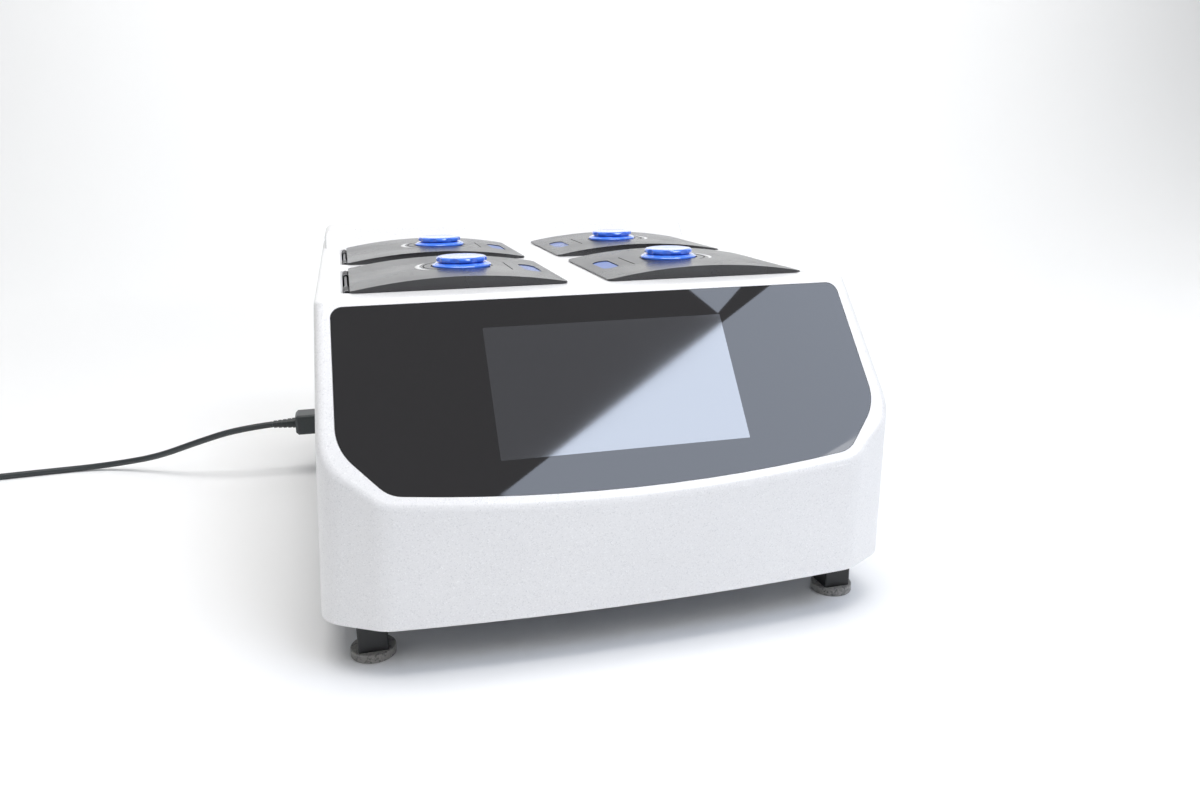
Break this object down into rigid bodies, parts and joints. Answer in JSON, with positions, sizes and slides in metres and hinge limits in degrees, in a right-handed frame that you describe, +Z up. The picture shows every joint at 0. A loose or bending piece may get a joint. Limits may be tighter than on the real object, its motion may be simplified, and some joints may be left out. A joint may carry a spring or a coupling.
{
  "type": "thermal cycler",
  "caption": "Bench thermal cycler with a tilted touch display, hinged arched lids with pressure knobs over heated sample blocks, felt-padded feet and a mains lead.",
  "frame": {"origin": "on the bench top, under the middle of the instrument's bounding box without its mains lead", "axes": "+X to the right of someone facing the display, +Y to the back, +Z up"},
  "size_m": [0.8582, 0.5371, 0.2497],
  "materials": {
    "housing_white": "satin, fine pearl speckle",
    "display_glass": "polished, black backed",
    "display_panel": "polished",
    "lid_grey": "satin moulded",
    "lid_black": "fine texture",
    "knob_blue": "polished",
    "aluminium": "machined",
    "steel": "plain",
    "hinge_black": "black oxide, satin",
    "panel_grey": "powder coat",
    "black_plastic": "moulded",
    "foot_black": "satin",
    "felt_grey": "pressed felt",
    "board_green": "solder mask",
    "ceramic_white": "plain",
    "cord_black": "satin sheath"
  },
  "bodies": {
    "housing": {"housing_shell": "housing_white", "rear_hood": "housing_white", "base_plate": "panel_grey", "rear_panel": "panel_grey", "housing_screws": "steel", "chassis_frame": "steel", "power_supplies": "aluminium", "display_glass": "display_glass", "display_module": "display_panel", "display_bracket": "steel", "control_board": "board_green", "bay_trays": "lid_black", "heat_sinks": "aluminium", "thermoelectric_modules": "ceramic_white", "hinge_brackets": "hinge_black", "hinge_pins": "hinge_black", "latch_keepers": "steel", "fan_frames": "black_plastic", "fan_guards": "steel", "foot_posts": "foot_black", "foot_pads": "felt_grey", "mains_inlet": "black_plastic", "switch_frame": "black_plastic", "appliance_plug": "cord_black", "plug_strain_relief": "cord_black", "power_cord": "cord_black", "power_cord_coil": "cord_black", "power_cord_tail": "cord_black", "mains_plug": "cord_black", "sample_block_front_left": "aluminium", "sample_block_front_right": "aluminium", "sample_block_rear_left": "aluminium", "sample_block_rear_right": "aluminium"},
    "lid_front_left": {"lid_cover_front_left": "lid_grey", "lid_frame_front_left": "lid_black"},
    "platen_front_left": {"heated_platen_front_left": "aluminium"},
    "knob_front_left": {"pressure_knob_front_left": "knob_blue"},
    "button_front_left": {"latch_button_front_left": "knob_blue"},
    "hook_front_left": {"latch_hook_front_left": "steel"},
    "lid_front_right": {"lid_cover_front_right": "lid_grey", "lid_frame_front_right": "lid_black"},
    "platen_front_right": {"heated_platen_front_right": "aluminium"},
    "knob_front_right": {"pressure_knob_front_right": "knob_blue"},
    "button_front_right": {"latch_button_front_right": "knob_blue"},
    "hook_front_right": {"latch_hook_front_right": "steel"},
    "lid_rear_left": {"lid_cover_rear_left": "lid_grey", "lid_frame_rear_left": "lid_black"},
    "platen_rear_left": {"heated_platen_rear_left": "aluminium"},
    "knob_rear_left": {"pressure_knob_rear_left": "knob_blue"},
    "button_rear_left": {"latch_button_rear_left": "knob_blue"},
    "hook_rear_left": {"latch_hook_rear_left": "steel"},
    "lid_rear_right": {"lid_cover_rear_right": "lid_grey", "lid_frame_rear_right": "lid_black"},
    "platen_rear_right": {"heated_platen_rear_right": "aluminium"},
    "knob_rear_right": {"pressure_knob_rear_right": "knob_blue"},
    "button_rear_right": {"latch_button_rear_right": "knob_blue"},
    "hook_rear_right": {"latch_hook_rear_right": "steel"},
    "switch": {"power_switch": "black_plastic"},
    "fan_left": {"fan_rotor_left": "black_plastic"},
    "fan_right": {"fan_rotor_right": "black_plastic"}
  },
  "joints": [
    {"name": "lid_hinge_front_left", "type": "hinge", "parent": "housing", "child": "lid_front_left", "pos_m": [-0.169, -0.081, 0.2312], "axis": [0, -1, 0], "range_deg": [0, 85]},
    {"name": "knob_turn_front_left", "type": "hinge", "parent": "lid_front_left", "child": "knob_front_left", "pos_m": [-0.083, -0.081, 0.242], "axis": [0, 0, -1], "range_deg": [0, 330]},
    {"name": "platen_slide_front_left", "type": "slide", "parent": "lid_front_left", "child": "platen_front_left", "axis": [0, 0, -1], "range_m": [0, 0.006]},
    {"name": "button_press_front_left", "type": "slide", "parent": "lid_front_left", "child": "button_front_left", "axis": [0, 0, -1], "range_m": [0, 0.0025], "stiffness_N_per_m": 300, "springref_m": -0.003},
    {"name": "hook_slide_front_left", "type": "slide", "parent": "lid_front_left", "child": "hook_front_left", "axis": [-1, 0, 0], "range_m": [0, 0.003]},
    {"name": "lid_hinge_front_right", "type": "hinge", "parent": "housing", "child": "lid_front_right", "pos_m": [0.169, -0.081, 0.2312], "axis": [0, 1, 0], "range_deg": [0, 85]},
    {"name": "knob_turn_front_right", "type": "hinge", "parent": "lid_front_right", "child": "knob_front_right", "pos_m": [0.083, -0.081, 0.242], "axis": [0, 0, -1], "range_deg": [0, 330]},
    {"name": "platen_slide_front_right", "type": "slide", "parent": "lid_front_right", "child": "platen_front_right", "axis": [0, 0, -1], "range_m": [0, 0.006]},
    {"name": "button_press_front_right", "type": "slide", "parent": "lid_front_right", "child": "button_front_right", "axis": [0, 0, -1], "range_m": [0, 0.0025], "stiffness_N_per_m": 300, "springref_m": -0.003},
    {"name": "hook_slide_front_right", "type": "slide", "parent": "lid_front_right", "child": "hook_front_right", "axis": [1, 0, 0], "range_m": [0, 0.003]},
    {"name": "lid_hinge_rear_left", "type": "hinge", "parent": "housing", "child": "lid_rear_left", "pos_m": [-0.169, 0.086, 0.2312], "axis": [0, -1, 0], "range_deg": [0, 85]},
    {"name": "knob_turn_rear_left", "type": "hinge", "parent": "lid_rear_left", "child": "knob_rear_left", "pos_m": [-0.083, 0.086, 0.242], "axis": [0, 0, -1], "range_deg": [0, 330]},
    {"name": "platen_slide_rear_left", "type": "slide", "parent": "lid_rear_left", "child": "platen_rear_left", "axis": [0, 0, -1], "range_m": [0, 0.006]},
    {"name": "button_press_rear_left", "type": "slide", "parent": "lid_rear_left", "child": "button_rear_left", "axis": [0, 0, -1], "range_m": [0, 0.0025], "stiffness_N_per_m": 300, "springref_m": -0.003},
    {"name": "hook_slide_rear_left", "type": "slide", "parent": "lid_rear_left", "child": "hook_rear_left", "axis": [-1, 0, 0], "range_m": [0, 0.003]},
    {"name": "lid_hinge_rear_right", "type": "hinge", "parent": "housing", "child": "lid_rear_right", "pos_m": [0.169, 0.086, 0.2312], "axis": [0, 1, 0], "range_deg": [0, 85]},
    {"name": "knob_turn_rear_right", "type": "hinge", "parent": "lid_rear_right", "child": "knob_rear_right", "pos_m": [0.083, 0.086, 0.242], "axis": [0, 0, -1], "range_deg": [0, 330]},
    {"name": "platen_slide_rear_right", "type": "slide", "parent": "lid_rear_right", "child": "platen_rear_right", "axis": [0, 0, -1], "range_m": [0, 0.006]},
    {"name": "button_press_rear_right", "type": "slide", "parent": "lid_rear_right", "child": "button_rear_right", "axis": [0, 0, -1], "range_m": [0, 0.0025], "stiffness_N_per_m": 300, "springref_m": -0.003},
    {"name": "hook_slide_rear_right", "type": "slide", "parent": "lid_rear_right", "child": "hook_rear_right", "axis": [1, 0, 0], "range_m": [0, 0.003]},
    {"name": "switch_rock", "type": "hinge", "parent": "housing", "child": "switch", "pos_m": [-0.1953, 0.216, 0.055], "axis": [0, 0, -1], "range_deg": [0, 18]},
    {"name": "fan_spin_left", "type": "hinge", "parent": "housing", "child": "fan_left", "pos_m": [-0.095, 0.2495, 0.132], "axis": [0, 1, 0], "continuous": true},
    {"name": "fan_spin_right", "type": "hinge", "parent": "housing", "child": "fan_right", "pos_m": [0.095, 0.2495, 0.132], "axis": [0, 1, 0], "continuous": true}
  ],
  "couplings": [
    {"joint": "knob_turn_front_left", "follows": "platen_slide_front_left", "rad_per_m": 959.9},
    {"joint": "hook_slide_front_left", "follows": "button_press_front_left", "ratio": 1.2},
    {"joint": "knob_turn_front_right", "follows": "platen_slide_front_right", "rad_per_m": 959.9},
    {"joint": "hook_slide_front_right", "follows": "button_press_front_right", "ratio": 1.2},
    {"joint": "knob_turn_rear_left", "follows": "platen_slide_rear_left", "rad_per_m": 959.9},
    {"joint": "hook_slide_rear_left", "follows": "button_press_rear_left", "ratio": 1.2},
    {"joint": "knob_turn_rear_right", "follows": "platen_slide_rear_right", "rad_per_m": 959.9},
    {"joint": "hook_slide_rear_right", "follows": "button_press_rear_right", "ratio": 1.2}
  ]
}
